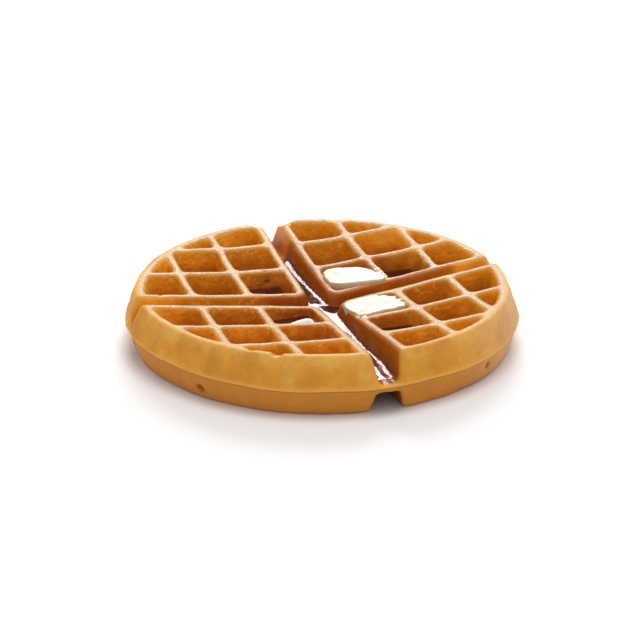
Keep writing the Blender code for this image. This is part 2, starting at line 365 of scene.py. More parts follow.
def quarter_place(tree, flat, x, y):
    """A point in its own quarter of the grid, with X and Y counted away from the channels."""
    right = add(tree, MATH, x, 0.0, operation="GREATER_THAN")
    back = add(tree, MATH, y, 0.0, operation="GREATER_THAN")
    index = add(tree, MATH, back, 2.0, right, operation="MULTIPLY_ADD")
    choice = tree.nodes.new("GeometryNodeIndexSwitch")
    choice.data_type = "VECTOR"
    while len(choice.index_switch_items) < len(QUARTERS):
        choice.index_switch_items.new()
    tree.links.new(index, choice.inputs["Index"])
    for socket, (shift_x, shift_y, turn) in zip(list(choice.inputs)[1:], QUARTERS.values()):
        socket.default_value = (shift_x, shift_y, turn)
    shift = add(tree, VECTOR, choice.outputs[0], (1, 1, 0), operation="MULTIPLY")
    turn = add(tree, "ShaderNodeSeparateXYZ", choice.outputs[0], output=2)
    moved = add(tree, VECTOR, flat, shift, operation="SUBTRACT")
    turned = add(tree, "ShaderNodeVectorRotate", moved, named={"Angle": turn}, rotation_type="Z_AXIS",
                 invert=True)
    return add(tree, VECTOR, turned, operation="ABSOLUTE")


def spots(tree, flat, places, soft):
    """One in the middle of each round place, falling to nothing at its edge."""
    total = None
    for (x, y), radius in places:
        apart = add(tree, VECTOR, flat, (x * MM, y * MM, 0), output="Value", operation="DISTANCE")
        spot = add(tree, RANGE, apart, radius * (1 - soft) * MM, radius * MM, 1.0, 0.0,
                   interpolation_type="SMOOTHSTEP")
        total = spot if total is None else add(tree, MATH, total, spot, operation="MAXIMUM")
    return total


def crust_field():
    """Distance from the level crust, negative inside it, and from its outer side and its quarters alone."""
    results = [(key, FLOAT) for key in ("distance", "side", "quarter", "level")]
    tree, given = new_tree("crust_field", results=results)
    place = add(tree, "GeometryNodeInputPosition")

    # Nothing baked is straight: every form wanders by a millimetre over a few centimetres
    wander = add(tree, NOISE, place, named={"Scale": 30.0, "Detail": 2.0}, output=1)
    centred = add(tree, VECTOR, wander, (0.5, 0.5, 0.5), operation="SUBTRACT")
    bent = add(tree, VECTOR, centred, WANDER, place, operation="MULTIPLY_ADD")
    x, y, z = add(tree, "ShaderNodeSeparateXYZ", bent, output=None).outputs
    flat = add(tree, VECTOR, bent, (1, 1, 0), operation="MULTIPLY")
    radius = add(tree, VECTOR, flat, output="Value", operation="LENGTH")

    # The disc
    share = add(tree, MATH, z, given["height"], operation="DIVIDE")
    outline = add(tree, "ShaderNodeFloatCurve", named={"Value": share}, output=None)
    curve = outline.mapping.curves[0]
    while len(curve.points) < len(SIDE_PROFILE):
        curve.points.new(0.5, 0.5)
    for point, location in zip(curve.points, SIDE_PROFILE):
        point.location = location
        point.handle_type = "AUTO_CLAMPED"
    outline.mapping.update()
    edge = add(tree, MATH, outline.outputs[0], given["seam_radius"], operation="MULTIPLY")
    side = add(tree, MATH, radius, edge, operation="SUBTRACT")
    above = add(tree, MATH, z, given["height"], operation="SUBTRACT")
    below = add(tree, MATH, z, -1.0, operation="MULTIPLY")
    body = add(tree, MATH, side, above, TOP_EDGE, operation="SMOOTH_MAX")
    body = add(tree, MATH, body, below, FOOT_EDGE, operation="SMOOTH_MAX")

    # How deep a point lies below the nearer face, and how deep that face's pockets go
    middle = add(tree, MATH, add(tree, MATH, given["web_top"], given["web_bottom"], operation="ADD"), 0.5,
                 operation="MULTIPLY")
    upper = add(tree, MATH, z, middle, operation="GREATER_THAN")
    from_top = add(tree, MATH, given["height"], z, operation="SUBTRACT")
    depth = add(tree, MIX, upper, named={2: z, 3: from_top})
    upper_floor = add(tree, MATH, given["height"], given["web_top"], operation="SUBTRACT")
    floor = add(tree, MIX, upper, named={2: given["web_bottom"], 3: upper_floor})
    web = add(tree, MATH, floor, depth, operation="SUBTRACT")
    below_lip = add(tree, MATH, depth, given["lip"], operation="SUBTRACT")
    draft = add(tree, MATH, below_lip, DRAFT, operation="MULTIPLY")
    flare = add(tree, MATH, below_lip, LIP_FLARE, operation="MULTIPLY")
    lean = add(tree, MATH, draft, flare, operation="MINIMUM")

    # The quarters, with the channels between them, and the pockets in each
    local = quarter_place(tree, flat, x, y)
    half_rib = add(tree, MATH, given["rib"], 0.5, operation="MULTIPLY")
    bank = add(tree, MATH, given["first_rib"], half_rib, operation="SUBTRACT")
    bank = add(tree, MATH, bank, given["quarter_corner"], operation="ADD")
    bank = add(tree, MATH, bank, lean, operation="SUBTRACT")
    bank = add(tree, "ShaderNodeCombineXYZ", bank, bank)
    before = add(tree, VECTOR, bank, local, operation="SUBTRACT")
    block = rounded_square(tree, before, given["quarter_corner"])

    ribs = add(tree, "ShaderNodeCombineXYZ", given["first_rib"], given["first_rib"])
    pitch = add(tree, "ShaderNodeCombineXYZ", given["pitch"], given["pitch"], 1.0)
    start = add(tree, VECTOR, local, ribs, operation="SUBTRACT")
    cell = add(tree, VECTOR, add(tree, VECTOR, start, pitch, operation="DIVIDE"), operation="FLOOR")
    cell = add(tree, VECTOR, cell, (0, 0, 0), operation="MAXIMUM")
    cell = add(tree, VECTOR, cell, (0.5, 0.5, 0), operation="ADD")
    centre = add(tree, VECTOR, cell, pitch, operation="MULTIPLY")
    apart = add(tree, VECTOR, add(tree, VECTOR, start, centre, operation="SUBTRACT"), operation="ABSOLUTE")
    half = add(tree, MATH, add(tree, MATH, given["pitch"], given["rib"], operation="SUBTRACT"), 0.5,
               operation="MULTIPLY")
    half = add(tree, MATH, add(tree, MATH, half, given["pocket_corner"], operation="SUBTRACT"), lean,
               operation="SUBTRACT")
    half = add(tree, "ShaderNodeCombineXYZ", half, half)
    beyond = add(tree, VECTOR, apart, half, operation="SUBTRACT")
    pocket = rounded_square(tree, beyond, given["pocket_corner"])
    rim = add(tree, MATH, radius, add(tree, MATH, given["rim_radius"], lean, operation="SUBTRACT"),
              operation="SUBTRACT")
    pocket = add(tree, MATH, pocket, rim, POCKET_AT_RIM, operation="SMOOTH_MAX")
    worn = add(tree, MIX, upper, named={2: QUARTER_ENDS[0], 3: QUARTER_ENDS[1]})
    within = add(tree, MATH, side, QUARTER_INSET, operation="SUBTRACT")
    ends = add(tree, MATH, block, within, worn, operation="SMOOTH_MAX")
    solid = add(tree, MATH, ends, add(tree, MATH, pocket, -1.0, operation="MULTIPLY"), operation="MAXIMUM")
    relief = add(tree, MATH, solid, web, WEB_FILLET, operation="SMOOTH_MIN")
    rounding = add(tree, MIX, upper, named={2: RIB_EDGES[0], 3: RIB_EDGES[1]})
    shape = add(tree, MATH, body, relief, rounding, operation="SMOOTH_MAX")

    # Low bumps, burst bubbles in the grid, and the few that show singly
    bumps = add(tree, NOISE, place, named={"Scale": 240.0, "Detail": 2.0})
    shape = add(tree, MATH, add(tree, MATH, bumps, 0.5, operation="SUBTRACT"), BUMP_HEIGHT, shape,
                operation="MULTIPLY_ADD")
    bubbles = add(tree, CELLS, place, named={"Scale": BUBBLE_SCALE}, output=None)
    draw = add(tree, "ShaderNodeSeparateXYZ", bubbles.outputs["Color"])
    hole = add(tree, RANGE, draw, BUBBLE_DRAW, 1.0, *BUBBLE_RADII)
    hole = add(tree, MATH, bubbles.outputs["Distance"], -1 / BUBBLE_SCALE, hole, operation="MULTIPLY_ADD")
    for wall, band in ((side, FILLED_BAND), (block, CHANNEL_BAND)):
        hole = add(tree, MATH, hole, add(tree, RANGE, wall, *band, 0.0, FILLED), operation="ADD")
    shape = add(tree, MATH, shape, hole, BUBBLE_EDGE, operation="SMOOTH_MAX")
    for centre_mm, dent_radius in DENTS:
        apart = add(tree, VECTOR, place, [c * MM for c in centre_mm], output="Value", operation="DISTANCE")
        dent = add(tree, MATH, dent_radius * MM, apart, operation="SUBTRACT")
        shape = add(tree, MATH, shape, dent, DENT_EDGE, operation="SMOOTH_MAX")
    finish_group(tree, distance=shape, side=side, quarter=block, level=share)
    return tree


def sag_share(tree, given):
    """One in the flat middle, falling evenly to nothing at the rim."""
    place = add(tree, "GeometryNodeInputPosition")
    flat = add(tree, VECTOR, place, (1, 1, 0), operation="MULTIPLY")
    radius = add(tree, VECTOR, flat, output="Value", operation="LENGTH")
    return add(tree, RANGE, radius, given["flat_radius"], given["top_radius"], 1.0, 0.0)


def let_down(tree, given, geometry):
    """Lowers each point of a level shape by the sag at its height, and keeps it inside the solid's box."""
    place = add(tree, "GeometryNodeInputPosition")
    z = add(tree, "ShaderNodeSeparateXYZ", place, output=2)
    low = add(tree, RANGE, z, 0.0, given["web_bottom"], 0.0, given["web_sag"])
    spread = add(tree, MATH, given["top_sag"], given["web_sag"], operation="SUBTRACT")
    high = add(tree, RANGE, z, given["web_top"], given["height"], 0.0, spread)
    drop = add(tree, MATH, low, high, operation="ADD")
    drop = add(tree, MATH, drop, sag_share(tree, given), operation="MULTIPLY")
    drop = add(tree, MATH, drop, -1.0, operation="MULTIPLY")
    sagged = add(tree, VECTOR, place, add(tree, "ShaderNodeCombineXYZ", 0.0, 0.0, drop), operation="ADD")
    kept = add(tree, VECTOR, sagged, tuple(CAD_BOX[0]), operation="MAXIMUM")
    kept = add(tree, VECTOR, kept, tuple(CAD_BOX[1]), operation="MINIMUM")
    return add(tree, "GeometryNodeSetPosition", geometry, named={"Position": kept})


def volume_mesh(tree, given, distance, low, high):
    """The surface where a distance is nothing, found in a box and evened out."""
    scale = add(tree, MATH, -0.25, given["voxel"], operation="DIVIDE")
    density = add(tree, "ShaderNodeClamp", add(tree, MATH, distance, scale, 0.5, operation="MULTIPLY_ADD"))
    span = add(tree, VECTOR, high, low, operation="SUBTRACT")
    cells = add(tree, MATH, 1.0, given["voxel"], operation="DIVIDE")
    counts = add(tree, "ShaderNodeSeparateXYZ", add(tree, VECTOR, span, named={3: cells}, operation="SCALE"),
                 output=None).outputs
    cube = add(tree, "GeometryNodeVolumeCube", named={
        "Density": density, "Min": low, "Max": high,
        "Resolution X": counts[0], "Resolution Y": counts[1], "Resolution Z": counts[2],
    })
    mesh = add(tree, "GeometryNodeVolumeToMesh", cube, named={"Threshold": 0.5})
    even = add(tree, "GeometryNodeBlurAttribute", add(tree, "GeometryNodeInputPosition"), 2,
               data_type="FLOAT_VECTOR")
    return add(tree, "GeometryNodeSetPosition", mesh, named={"Position": even})


def keep(tree, geometry, name, value):
    """Stores a value on each point, for the material to read."""
    return add(tree, "GeometryNodeStoreNamedAttribute", geometry, named={"Name": name, "Value": value},
               data_type="FLOAT", domain="POINT")


def finish_tree(tree, geometry, finish):
    smooth = add(tree, "GeometryNodeSetShadeSmooth", geometry)
    real = add(tree, "GeometryNodeRealizeInstances", smooth)
    finish_group(tree, mesh=add(tree, "GeometryNodeSetMaterial", real, named={"Material": finish}))


MESH_RESULT = [("mesh", "NodeSocketGeometry")]


def crust_tree(field, finish):
    tree, given = new_tree("crust_tree", own=[("low", CORNER), ("high", CORNER)], results=MESH_RESULT)
    crust = use_group(tree, field, given)
    mesh = volume_mesh(tree, given, crust["distance"], given["low"], given["high"])
    place = add(tree, "GeometryNodeInputPosition")
    mesh = keep(tree, mesh, "level", crust["level"])
    mesh = keep(tree, mesh, "outer", add(tree, RANGE, crust["side"], *OUTER_BAND, 0.0, 1.0))
    mesh = keep(tree, mesh, "channel", add(tree, RANGE, crust["quarter"], *CHANNEL_BAND, 0.0, 1.0))
    flat = add(tree, VECTOR, place, (1, 1, 0), operation="MULTIPLY")
    ragged = add(tree, NOISE, place, named={"Scale": 160.0, "Detail": 3.0}, output=1)
    ragged = add(tree, VECTOR, ragged, (0.5, 0.5, 0.5), operation="SUBTRACT")
    flat = add(tree, VECTOR, ragged, WET_STRAY, flat, operation="MULTIPLY_ADD")
    mesh = keep(tree, mesh, "wet", spots(tree, flat, WET_PLACES, 0.75))
    finish_tree(tree, let_down(tree, given, mesh), finish)
    return tree


def syrup_tree(field, finish):
    """Syrup with a level surface, and a depth it keeps where it runs along a channel."""
    own = [("low", CORNER), ("high", CORNER), ("surface", FLOAT), ("flow", FLOAT), ("stream", FLOAT)]
    tree, given = new_tree("syrup_tree", own=own, results=MESH_RESULT)
    found = use_group(tree, field, given)
    crust = found["distance"]
    place = add(tree, "GeometryNodeInputPosition")
    z = add(tree, "ShaderNodeSeparateXYZ", place, output=2)

    # The height in the level waffle that ends up at the surface once it is let down
    share = sag_share(tree, given)
    spread = add(tree, MATH, given["top_sag"], given["web_sag"], operation="SUBTRACT")
    run = add(tree, MATH, given["height"], given["web_top"], operation="SUBTRACT")
    slope = add(tree, MATH, spread, run, operation="DIVIDE")
    rest = add(tree, MATH, given["web_sag"], add(tree, MATH, given["web_top"], slope, operation="MULTIPLY"),
               operation="SUBTRACT")
    top = add(tree, MATH, share, rest, given["surface"], operation="MULTIPLY_ADD")
    squeeze = add(tree, MATH, 1.0, add(tree, MATH, share, slope, operation="MULTIPLY"), operation="SUBTRACT")
    top = add(tree, MATH, top, squeeze, operation="DIVIDE")
    stream = add(tree, MATH, given["web_top"], given["flow"], operation="ADD")
    top = add(tree, MATH, top, stream, STREAM_MEETING, operation="SMOOTH_MAX")

    # It creeps up the walls and ripples a little
    gap = add(tree, MATH, crust, 0.0, operation="MAXIMUM")
    climb = add(tree, MATH, given["climb"], -1.0, operation="MULTIPLY")
    creep = add(tree, MATH, add(tree, MATH, gap, climb, operation="DIVIDE"), operation="EXPONENT")
    top = add(tree, MATH, creep, given["climb"], top, operation="MULTIPLY_ADD")
    ripple = add(tree, NOISE, place, named={"Scale": 110.0, "Detail": 1.0})
    ripple = add(tree, MATH, ripple, 0.5, operation="SUBTRACT")
    top = add(tree, MATH, ripple, RIPPLE, top, operation="MULTIPLY_ADD")
    flat = add(tree, VECTOR, place, (1, 1, 0), operation="MULTIPLY")
    top = add(tree, MATH, spots(tree, flat, SWELLS, 1.0), given["swell"], top, operation="MULTIPLY_ADD")
    thinning = add(tree, RANGE, found["side"], *THIN_BAND, 0.0, THINNED)
    top = add(tree, MATH, top, thinning, operation="SUBTRACT")
    liquid = add(tree, MATH, z, top, operation="SUBTRACT")

    # Round ends where a stream stops inside its box
    clear = (END_CLEAR, END_CLEAR, 0)
    room = add(tree, VECTOR, given["high"], clear, operation="SUBTRACT")
    past = add(tree, VECTOR, place, room, operation="SUBTRACT")
    room = add(tree, VECTOR, given["low"], clear, operation="ADD")
    past = add(tree, VECTOR, past, add(tree, VECTOR, room, place, operation="SUBTRACT"), operation="MAXIMUM")
    ends = add(tree, "ShaderNodeSeparateXYZ", past, output=None).outputs
    ends = add(tree, MATH, ends[0], ends[1], operation="MAXIMUM")
    liquid = add(tree, MATH, liquid, ends, ROUND_END, operation="SMOOTH_MAX")
    brim = add(tree, MATH, found["side"], END_CLEAR, operation="ADD")
    liquid = add(tree, MATH, liquid, brim, ROUND_END, operation="SMOOTH_MAX")

    # It ends just inside the crust, and a stream keeps out of the pockets beside it
    wall = add(tree, MATH, crust, -1.0, operation="MULTIPLY")
    wall = add(tree, MATH, wall, given["reach"], operation="SUBTRACT")
    liquid = add(tree, MATH, liquid, wall, operation="MAXIMUM")
    banks = add(tree, MATH, found["quarter"], -1.0, operation="MULTIPLY")
    banks = add(tree, MATH, banks, given["reach"], operation="SUBTRACT")
    banks = add(tree, MIX, given["stream"], named={2: -1.0, 3: banks})
    liquid = add(tree, MATH, liquid, banks, operation="MAXIMUM")
    mesh = volume_mesh(tree, given, liquid, given["low"], given["high"])
    mesh = keep(tree, mesh, "thin", add(tree, RANGE, crust, *PALE_BAND, 1.0, 0.0))
    finish_tree(tree, let_down(tree, given, mesh), finish)
    return tree


def melt_tree(field, finish):
    """A thin skin of melted butter on the crust, where it has run over the ribs."""
    tree, given = new_tree("melt_tree", own=[("low", CORNER), ("high", CORNER)], results=MESH_RESULT)
    crust = use_group(tree, field, given)["distance"]
    place = add(tree, "GeometryNodeInputPosition")
    flat = add(tree, VECTOR, place, (1, 1, 0), operation="MULTIPLY")
    ragged = add(tree, NOISE, place, named={"Scale": 300.0, "Detail": 2.0}, output=1)
    ragged = add(tree, VECTOR, ragged, (0.5, 0.5, 0.5), operation="SUBTRACT")
    flat = add(tree, VECTOR, ragged, MELT_STRAY, flat, operation="MULTIPLY_ADD")
    cover = spots(tree, flat, MELT_PLACES, 0.9)
    z = add(tree, "ShaderNodeSeparateXYZ", place, output=2)
    high = add(tree, RANGE, z, *MELT_HEIGHTS, 0.0, 1.0)
    cover = add(tree, MATH, cover, high, operation="MULTIPLY")
    thick = add(tree, MATH, cover, MELT_DEPTH, MELT_START, operation="MULTIPLY_ADD")
    skin = add(tree, MATH, crust, thick, operation="SUBTRACT")
    wall = add(tree, MATH, crust, -1.0, operation="MULTIPLY")
    wall = add(tree, MATH, wall, given["reach"], operation="SUBTRACT")
    skin = add(tree, MATH, skin, wall, operation="MAXIMUM")
    mesh = volume_mesh(tree, given, skin, given["low"], given["high"])
    finish_tree(tree, let_down(tree, given, mesh), finish)
    return tree


def from_tree(context, name, tree, most=None, **own):
    """Runs a tree with the scene's sizes and returns its result as an object with a plain mesh."""
    sizes = context.scene.waffle_sizes
    carrier = bpy.data.objects.new(name + "_tree", bpy.data.meshes.new(name))
    context.scene.collection.objects.link(carrier)
    nodes = carrier.modifiers.new("nodes", "NODES")
    nodes.node_group = tree
    values = {key: getattr(sizes, key) for key in WaffleSizes.__annotations__} | own
    for item in tree.interface.items_tree:
        if item.in_out == "INPUT":
            nodes[item.identifier] = values[item.name]
    mesh = evaluated_mesh(context, carrier)
    if not mesh.polygons:
        raise RuntimeError(name + " came out empty")
    made = bpy.data.objects.new(name, mesh)
    context.scene.collection.objects.link(made)
    bpy.data.objects.remove(carrier)
    triangles = sum(len(face.vertices) - 2 for face in mesh.polygons)
    if most and triangles > most:
        thin = made.modifiers.new("thin", "DECIMATE")
        thin.ratio = most / triangles
        made.data = evaluated_mesh(context, made)
        made.modifiers.clear()
    made.data.name = name
    return made


def evaluated_mesh(context, thing):
    return bpy.data.meshes.new_from_object(thing.evaluated_get(context.evaluated_depsgraph_get()))


def let_down_point(sizes, point):
    """The same sag as in the trees, for a mesh made in the script."""
    run = (math.hypot(point.x, point.y) - sizes.flat_radius) / (sizes.top_radius - sizes.flat_radius)
    rise = (point.z - sizes.web_top) / (sizes.height - sizes.web_top)
    return point.z - (1 - min(max(run, 0), 1)) * (
        sizes.web_sag + min(max(rise, 0), 1) * (sizes.top_sag - sizes.web_sag)
    )


def shader_of(finish):
    return finish.node_tree.nodes["Principled BSDF"]


def new_material(name):
    finish = bpy.data.materials.new(name)
    finish.use_nodes = True
    return finish, finish.node_tree, shader_of(finish)


def baked_crust(colours):
    """Baked batter: dull and golden outside, browner and a little greasy in the pockets, so that only
    the pocket walls sparkle, and dark and glossy where syrup has soaked it. Its colour also holds painted
    light: yellow glints and a glow on the pocket walls, a sheen on one flank and a shadow under the seam."""
    finish, tree, shader = new_material("baked_batter_crust")
    place = add(tree, "ShaderNodeTexCoord", output="Object")
    level = add(tree, "ShaderNodeAttribute", attribute_name="level", output="Fac")
    outer = add(tree, "ShaderNodeAttribute", attribute_name="outer", output="Fac")
    wet = add(tree, "ShaderNodeAttribute", attribute_name="wet", output="Fac")
    channel = add(tree, "ShaderNodeAttribute", attribute_name="channel", output="Fac")
    flat = add(tree, VECTOR, place, (1, 1, 0), operation="MULTIPLY")
    radius = add(tree, VECTOR, flat, output="Value", operation="LENGTH")
    patches = add(tree, NOISE, place, named={"Scale": 70.0, "Detail": 4.0})
    grain = add(tree, NOISE, place, named={"Scale": 900.0, "Detail": 3.0})
    blisters = add(tree, CELLS, place, named={"Scale": 520.0}, feature="SMOOTH_F1")

    # The rib ends are pale, on both faces
    ragged_level = add(tree, MATH, add(tree, MATH, grain, 0.5, operation="SUBTRACT"), 0.03, level,
                       operation="MULTIPLY_ADD")
    crown = add(tree, RANGE, ragged_level, *CROWN_LEVELS)
    foot = add(tree, RANGE, ragged_level, *FOOT_LEVELS)
    crown = add(tree, MATH, crown, foot, operation="MAXIMUM")

    # Syrup evens out what it covers, rib ends last, and the channel walls come smooth from the iron
    not_outer = add(tree, MATH, 1.0, outer, operation="SUBTRACT")
    damp = add(tree, MATH, crown, -CROWN_RESISTS, wet, operation="MULTIPLY_ADD")
    soaked = add(tree, MATH, add(tree, RANGE, damp, *SOAKED_BAND), not_outer, operation="MULTIPLY")
    calm = add(tree, MATH, add(tree, MATH, soaked, channel, operation="MAXIMUM"), -EVENED_OUT, 1.0,
               operation="MULTIPLY_ADD")

    # In the pockets: lighter from the middle to the rim, partly by colour and partly by a painted glow,
    # darker from the ribs down, and unevenly browned
    outward = add(tree, RANGE, radius, *POCKET_BAND)
    walls = add(tree, MIX, outward, named={6: colours.wall_inner, 7: colours.outer_wall_and_glow}, output=2,
                data_type="RGBA")
    rough_level = add(tree, MATH, add(tree, MATH, patches, 0.5, operation="SUBTRACT"), 0.12, level,
                      operation="MULTIPLY_ADD")
    sunk = add(tree, RANGE, rough_level, *SUNK_LEVELS, 0.6, 0.0)
    walls = add(tree, MIX, sunk, named={6: walls, 7: colours.wall_deep}, output=2, data_type="RGBA")
    # Yellow patches, more of them towards the rim: a painted glow of light coming through the thin outer
    # walls
    yellow = add(tree, MATH, add(tree, RANGE, patches, 0.52, 0.68, 0.0, 0.35), outward, operation="MULTIPLY")
    walls = add(tree, MIX, yellow, named={6: walls, 7: colours.glint_and_glow_yellow}, output=2, data_type="RGBA")
    browning = add(tree, RANGE, patches, 0.32, 0.68, 0.82, 1.12)
    walls = add(tree, MIX, 1.0, named={6: walls, 7: browning}, output=2, data_type="RGBA",
                blend_type="MULTIPLY")
    freckles = add(tree, NOISE, place, named={"Scale": 380.0, "Detail": 4.0, "Roughness": 0.7})
    freckles = add(tree, RANGE, freckles, 0.35, 0.65, 0.92, 1.08)
    freckles = add(tree, MIX, calm, named={2: 1.0, 3: freckles})
    walls = add(tree, MIX, 1.0, named={6: walls, 7: freckles}, output=2, data_type="RGBA",
                blend_type="MULTIPLY")

    # Painted glints: yellow spots in cells high on the walls, standing for light caught by fat-glazed bubbles
    bent = add(tree, NOISE, place, named={"Scale": 600.0, "Detail": 2.0}, output=1)
    bent = add(tree, VECTOR, bent, (4 * MM, 4 * MM, 4 * MM), place, operation="MULTIPLY_ADD")
    bubbles = add(tree, CELLS, bent, named={"Scale": 480.0}, output=None)
    glint_spot = add(tree, RANGE, bubbles.outputs["Distance"], 0.10, 0.60, 1.0, 0.0)
    draw = add(tree, "ShaderNodeSeparateXYZ", bubbles.outputs["Color"])
    glint_spot = add(tree, MATH, glint_spot, add(tree, RANGE, draw, 0.50, 0.80, 0.0, 0.8), operation="MULTIPLY")
    glint_spot = add(tree, MATH, glint_spot, add(tree, RANGE, rough_level, 0.70, 0.88), operation="MULTIPLY")
    walls = add(tree, MIX, glint_spot, named={6: walls, 7: colours.glint_and_glow_yellow}, output=2, data_type="RGBA")

    top = add(tree, MIX, crown, named={6: walls, 7: colours.crown}, output=2, data_type="RGBA")

    # On the outer side: paler under the rim, mottled, and browner below the seam
    side = add(tree, MIX, add(tree, RANGE, rough_level, *UNDER_RIM_LEVELS),
               named={6: colours.side, 7: colours.side_edge}, output=2, data_type="RGBA")
    side = add(tree, MIX, add(tree, RANGE, patches, 0.50, 0.66, 0.0, 0.8),
               named={6: side, 7: colours.side_foot}, output=2, data_type="RGBA")
    side = add(tree, MIX, add(tree, RANGE, patches, 0.46, 0.34, 0.0, 0.7),
               named={6: side, 7: colours.side_edge}, output=2, data_type="RGBA")
    side = add(tree, MIX, add(tree, RANGE, freckles, 0.95, 1.08, 0.0, 0.25),
               named={6: side, 7: colours.side_foot}, output=2, data_type="RGBA")
    side = add(tree, MIX, add(tree, RANGE, rough_level, *SEAM_LEVELS),
               named={6: side, 7: colours.side_foot}, output=2, data_type="RGBA")
    # Paler across towards one flank: a painted sheen of light falling on that side
    across = add(tree, "ShaderNodeSeparateXYZ", place)
    side = add(tree, MIX, add(tree, RANGE, across, *SHEEN_FLANK_BAND, 0.0, 0.7),
               named={6: side, 7: colours.sheen_flank}, output=2, data_type="RGBA")
    mottled = add(tree, NOISE, place, named={"Scale": 150.0, "Detail": 5.0, "Roughness": 0.65})
    mottled = add(tree, RANGE, mottled, 0.35, 0.65, 0.95, 1.06)
    side = add(tree, MIX, 1.0, named={6: side, 7: mottled}, output=2, data_type="RGBA", blend_type="MULTIPLY")

    # A pale ridge along the seam and a painted shadow, a brown line under it, each by its level, half width
    # and end
    for (middle, near, far), colour_at, most in (
        (RIDGE_LINE, colours.side_edge, 0.85),
        (SHADOW_LINE, colours.seam, 0.6),
    ):
        apart = add(tree, MATH, add(tree, MATH, level, middle, operation="SUBTRACT"), operation="ABSOLUTE")
        line = add(tree, RANGE, apart, near, far, most, 0.0)
        side = add(tree, MIX, line, named={6: side, 7: colour_at}, output=2, data_type="RGBA")
    base = add(tree, MIX, outer, named={6: top, 7: side}, output=2, data_type="RGBA")

    # The soaked places, darkest at the foot of a wall
    soaked_tone = add(tree, MIX, sunk, named={6: colours.soaked, 7: colours.syrup_deep}, output=2,
                      data_type="RGBA")
    base = add(tree, MIX, add(tree, MATH, soaked, SOAKED_COVER, operation="MULTIPLY"),
               named={6: base, 7: soaked_tone}, output=2, data_type="RGBA")
    tree.links.new(base, shader.inputs["Base Color"])

    greasy = add(tree, MIX, not_outer, named={2: OUTSIDE_ROUGHNESS, 3: POCKET_ROUGHNESS})
    greasy = add(tree, MIX, soaked, named={2: greasy, 3: SOAKED_ROUGHNESS})
    tree.links.new(greasy, shader.inputs["Roughness"])
    shader.inputs["IOR"].default_value = 1.36
    shader.inputs["Specular IOR Level"].default_value = 0.3
    lumps = add(tree, MATH, blisters, not_outer, operation="MULTIPLY")
    relief = add(tree, MATH, grain, 0.5, lumps, operation="MULTIPLY_ADD")
    relief = add(tree, MATH, relief, calm, operation="MULTIPLY")
    bump = add(tree, "ShaderNodeBump", named={"Strength": 0.5, "Distance": 0.6 * MM, "Height": relief})
    tree.links.new(bump, shader.inputs["Normal"])
    return finish


def soft_butter(colours):
    """Soft butter: close-grained fat, pale, with a low waxy gloss and light that spreads within it."""
    finish, tree, shader = new_material("soft_butter")
    place = add(tree, "ShaderNodeTexCoord", output="Object")
    streaks = add(tree, NOISE, place, named={"Scale": 220.0, "Detail": 3.0})
    tone = add(tree, RANGE, streaks, 0.3, 0.7, 0.95, 1.03)
    base = add(tree, MIX, 1.0, named={6: colours.butter, 7: tone}, output=2, data_type="RGBA",
               blend_type="MULTIPLY")
    tree.links.new(base, shader.inputs["Base Color"])
    bump = add(tree, "ShaderNodeBump", named={"Strength": 0.3, "Distance": 0.4 * MM, "Height": streaks})
    tree.links.new(bump, shader.inputs["Normal"])
    shader.inputs["Roughness"].default_value = 0.32
    shader.inputs["Subsurface Weight"].default_value = 0.4
    shader.inputs["Subsurface Radius"].default_value = (1.0, 0.75, 0.45)
    shader.inputs["Subsurface Scale"].default_value = 4 * MM
    shader.inputs["IOR"].default_value = 1.46
    return finish


def melted_butter(colours):
    """Melted butter: a wet skin of fat, yellower than the pat, that shines."""
    finish, tree, shader = new_material("melted_butter")
    place = add(tree, "ShaderNodeTexCoord", output="Object")
    streaks = add(tree, NOISE, place, named={"Scale": 400.0, "Detail": 2.0})
    base = add(tree, MIX, add(tree, RANGE, streaks, 0.35, 0.65),
               named={6: colours.melted, 7: colours.butter}, output=2, data_type="RGBA")
    tree.links.new(base, shader.inputs["Base Color"])
    shader.inputs["Roughness"].default_value = 0.14
    shader.inputs["IOR"].default_value = 1.46
    return finish


def table_syrup(colours):
    """Pancake syrup: nearly black-red where it is deep, lighter where it thins, and mirror-smooth."""
    finish, tree, shader = new_material("table_syrup")
    place = add(tree, "ShaderNodeTexCoord", output="Object")
    thin = add(tree, "ShaderNodeAttribute", attribute_name="thin", output="Fac")
    drift = add(tree, NOISE, place, named={"Scale": 90.0, "Detail": 2.0})
    mixed = add(tree, MATH, thin, add(tree, RANGE, drift, 0.4, 0.7, 0.0, 0.3), operation="ADD")
    base = add(tree, MIX, mixed, named={6: colours.syrup_deep, 7: colours.syrup_thin}, output=2,
               data_type="RGBA")
    tree.links.new(base, shader.inputs["Base Color"])
    shader.inputs["Roughness"].default_value = 0.04
    shader.inputs["IOR"].default_value = 1.49
    return finish


def plain_floor(colours):
    """A matt board, so that it shows only a soft shadow."""
    finish, tree, shader = new_material("matt_board")
    place = add(tree, "ShaderNodeTexCoord", output="Object")
    fibres = add(tree, NOISE, place, named={"Scale": 400.0, "Detail": 2.0})
    bump = add(tree, "ShaderNodeBump", named={"Strength": 0.05, "Distance": 0.1 * MM, "Height": fibres})
    tree.links.new(bump, shader.inputs["Normal"])
    shader.inputs["Base Color"].default_value = colours.floor
    shader.inputs["Roughness"].default_value = 0.8
    return finish


def shared_field():
    return bpy.data.node_groups.get("crust_field") or crust_field()


class WAFFLE_OT_crust(bpy.types.Operator):
    """Bakes the crust: the disc, its quarters, ribs and pockets on both faces"""

    bl_idname = "waffle.crust"
    bl_label = "Crust"

    def execute(self, context):
        low, high = (Vector(corner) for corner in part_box("waffle"))
        high.z = context.scene.waffle_sizes.height
        tree = crust_tree(shared_field(), baked_crust(context.scene.waffle_colours))
        crust = from_tree(context, "crust", tree, most=CRUST_TRIANGLES, low=low - CRUST_ROOM,
                          high=high + CRUST_ROOM)
        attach(crust, "root")
        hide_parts("waffle")
        return {"FINISHED"}


